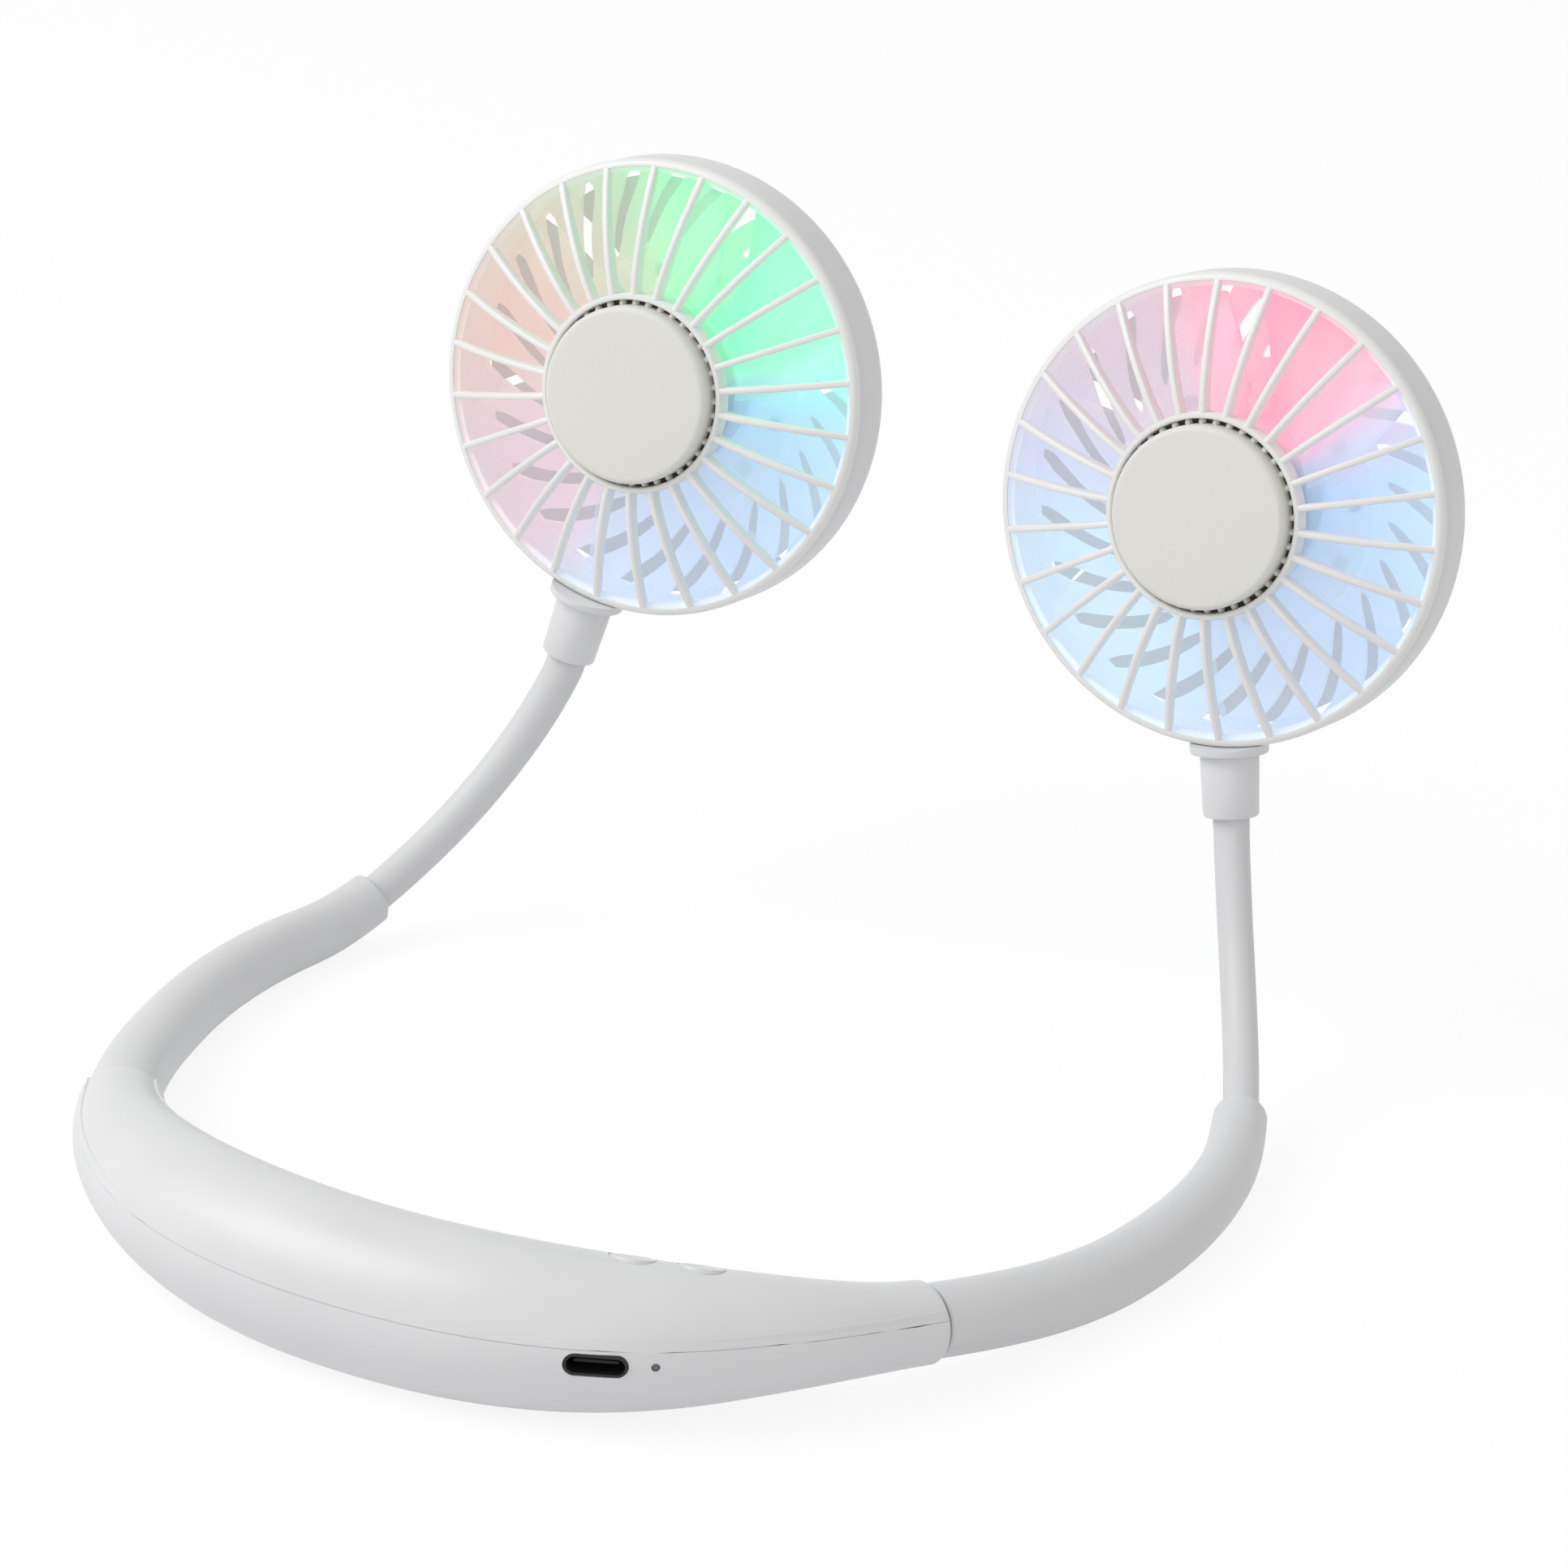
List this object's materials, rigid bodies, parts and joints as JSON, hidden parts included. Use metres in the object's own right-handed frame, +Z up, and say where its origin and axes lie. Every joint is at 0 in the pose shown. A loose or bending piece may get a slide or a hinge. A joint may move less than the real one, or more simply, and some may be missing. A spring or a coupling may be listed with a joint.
{
  "type": "neck fan",
  "caption": "Rechargeable fan worn round the neck: a curved housing and two arms carry fan heads on bendable necks, with lit blades behind domed grilles.",
  "frame": {"origin": "middle of the flat under the housing, on which the fan rests", "axes": "+Y from the housing towards the arms' ends and the fan heads, +X to the right seen from the housing, +Z up"},
  "size_m": [0.1836, 0.2041, 0.1355],
  "materials": {
    "body_plastic": "satin light grey-white",
    "cap_plastic": "matt warm off-white",
    "soft_cover": "soft satin white",
    "fan_plastic": "translucent, lit in colours",
    "clear_plastic": "clear",
    "screw_steel": "bright",
    "port_steel": "plated",
    "core_steel": "plain",
    "winding_wire": "enamelled copper",
    "cell_foil": "foil",
    "board": "lacquered green",
    "lead_cover": "satin red"
  },
  "bodies": {
    "housing": {"upper_shell": "body_plastic", "lower_shell": "body_plastic", "board_screws": "screw_steel", "battery_cells": "cell_foil", "battery_leads": "lead_cover", "circuit_board": "board", "usb_socket": "port_steel", "charge_light": "clear_plastic", "button_switches": "port_steel", "left_arm_pivot": "core_steel", "right_arm_pivot": "core_steel"},
    "fan_button": {"fan_button": "body_plastic"},
    "light_button": {"light_button": "body_plastic"},
    "left_arm": {"left_arm_coupler": "core_steel", "left_arm_spine": "core_steel", "left_arm_sleeve": "body_plastic", "left_motor_lead": "lead_cover", "left_neck_sleeve": "soft_cover"},
    "left_neck_1": {"left_neck_link_1": "core_steel"},
    "left_neck_2": {"left_neck_link_2": "core_steel"},
    "left_neck_3": {"left_neck_link_3": "core_steel"},
    "left_socket": {"left_neck_tip": "core_steel", "left_neck_socket": "body_plastic"},
    "left_head": {"left_swivel_clip": "screw_steel", "left_rear_shell": "body_plastic", "left_grille": "body_plastic", "left_hub_cap": "cap_plastic", "left_light_board": "board", "left_lamps": "clear_plastic", "left_head_screws": "screw_steel", "left_stator": "core_steel", "left_windings": "winding_wire", "left_bearings": "screw_steel"},
    "left_fan": {"left_motor_shaft": "screw_steel", "left_rotor": "core_steel", "left_impeller": "fan_plastic"},
    "right_arm": {"right_arm_coupler": "core_steel", "right_arm_spine": "core_steel", "right_arm_sleeve": "body_plastic", "right_motor_lead": "lead_cover", "right_neck_sleeve": "soft_cover"},
    "right_neck_1": {"right_neck_link_1": "core_steel"},
    "right_neck_2": {"right_neck_link_2": "core_steel"},
    "right_neck_3": {"right_neck_link_3": "core_steel"},
    "right_socket": {"right_neck_tip": "core_steel", "right_neck_socket": "body_plastic"},
    "right_head": {"right_swivel_clip": "screw_steel", "right_rear_shell": "body_plastic", "right_grille": "body_plastic", "right_hub_cap": "cap_plastic", "right_light_board": "board", "right_lamps": "clear_plastic", "right_head_screws": "screw_steel", "right_stator": "core_steel", "right_windings": "winding_wire", "right_bearings": "screw_steel"},
    "right_fan": {"right_motor_shaft": "screw_steel", "right_rotor": "core_steel", "right_impeller": "fan_plastic"}
  },
  "joints": [
    {"name": "fan_button_press", "type": "slide", "parent": "housing", "child": "fan_button", "axis": [0.0849, -0.3804, -0.9209], "range_m": [0, 0.0004], "stiffness_N_per_m": 2000, "springref_m": -0.0002},
    {"name": "light_button_press", "type": "slide", "parent": "housing", "child": "light_button", "axis": [0.0849, -0.3804, -0.9209], "range_m": [0, 0.0004], "stiffness_N_per_m": 2000, "springref_m": -0.0002},
    {"name": "left_arm_spread", "type": "hinge", "parent": "housing", "child": "left_arm", "pos_m": [-0.06908, 0.03908, 0.00953], "axis": [0, 0, 1], "range_deg": [-4, 4]},
    {"name": "left_neck_lift_1", "type": "hinge", "parent": "left_arm", "child": "left_neck_1", "pos_m": [-0.07953, 0.13681, 0.00923], "axis": [0.9205, -0.3907, 0], "range_deg": [-35, 35], "deforming": ["left_neck_sleeve"]},
    {"name": "left_neck_sway_2", "type": "hinge", "parent": "left_neck_1", "child": "left_neck_2", "pos_m": [-0.0732, 0.14921, 0.01868], "axis": [0.3421, 0.5546, -0.7585], "range_deg": [-30, 30], "deforming": ["left_neck_sleeve"]},
    {"name": "left_neck_lift_3", "type": "hinge", "parent": "left_neck_2", "child": "left_neck_3", "pos_m": [-0.06643, 0.15828, 0.03112], "axis": [0.7392, -0.6734, 0], "range_deg": [-35, 35], "deforming": ["left_neck_sleeve"]},
    {"name": "left_neck_sway_4", "type": "hinge", "parent": "left_neck_3", "child": "left_socket", "pos_m": [-0.06032, 0.16393, 0.04574], "axis": [0.7351, 0.554, -0.3907], "range_deg": [-30, 30], "deforming": ["left_neck_sleeve"]},
    {"name": "left_head_swivel", "type": "hinge", "parent": "left_socket", "child": "left_head", "pos_m": [-0.05983, 0.16418, 0.04787], "axis": [0.2231, 0.1137, 0.9681], "range_deg": [-90, 90]},
    {"name": "left_fan_spin", "type": "hinge", "parent": "left_head", "child": "left_fan", "pos_m": [-0.04857, 0.16743, 0.097], "axis": [0.0005, -0.9932, 0.1165], "continuous": true},
    {"name": "right_arm_spread", "type": "hinge", "parent": "housing", "child": "right_arm", "pos_m": [0.06908, 0.03908, 0.00953], "axis": [0, 0, 1], "range_deg": [-4, 4]},
    {"name": "right_neck_lift_1", "type": "hinge", "parent": "right_arm", "child": "right_neck_1", "pos_m": [0.07949, 0.137, 0.00877], "axis": [0.9272, 0.3746, 0], "range_deg": [-35, 35], "deforming": ["right_neck_sleeve"]},
    {"name": "right_neck_sway_2", "type": "hinge", "parent": "right_neck_1", "child": "right_neck_2", "pos_m": [0.07312, 0.15088, 0.01572], "axis": [-0.2568, 0.4968, -0.829], "range_deg": [-30, 30], "deforming": ["right_neck_sleeve"]},
    {"name": "right_neck_lift_3", "type": "hinge", "parent": "right_neck_2", "child": "right_neck_3", "pos_m": [0.0671, 0.16133, 0.02738], "axis": [0.8355, 0.5495, 0], "range_deg": [-35, 35], "deforming": ["right_neck_sleeve"]},
    {"name": "right_neck_sway_4", "type": "hinge", "parent": "right_neck_3", "child": "right_socket", "pos_m": [0.06261, 0.16731, 0.04241], "axis": [-0.6399, 0.7107, -0.2924], "range_deg": [-30, 30], "deforming": ["right_neck_sleeve"]},
    {"name": "right_head_swivel", "type": "hinge", "parent": "right_socket", "child": "right_head", "pos_m": [0.06223, 0.16762, 0.04455], "axis": [-0.1748, 0.1416, 0.9744], "range_deg": [-90, 90]},
    {"name": "right_fan_spin", "type": "hinge", "parent": "right_head", "child": "right_fan", "pos_m": [0.05332, 0.17229, 0.09405], "axis": [-0.0335, -0.9899, 0.1378], "continuous": true}
  ]
}
